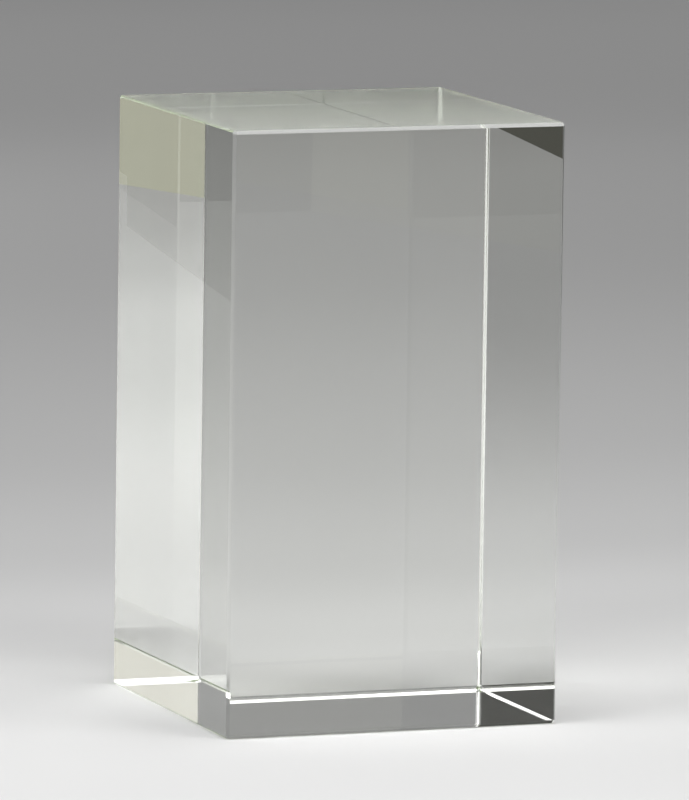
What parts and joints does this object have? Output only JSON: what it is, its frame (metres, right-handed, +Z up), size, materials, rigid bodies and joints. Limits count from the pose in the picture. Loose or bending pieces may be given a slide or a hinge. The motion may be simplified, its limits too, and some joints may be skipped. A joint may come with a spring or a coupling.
{
  "type": "crystal photo block",
  "caption": "Upright solid block of clear optical crystal on a square base, with polished faces, narrow bevelled edges and small corner facets, for showing a laser-engraved picture.",
  "frame": {"origin": "centre of the base, the face that the block stands on", "axes": "+Z up along the block's height, +X to the right across the front face, and the front face looks along -Y"},
  "size_m": [0.05, 0.05, 0.0865],
  "materials": {
    "crystal": "polished"
  },
  "bodies": {
    "root": {"crystal_block": "crystal"}
  },
  "joints": []
}
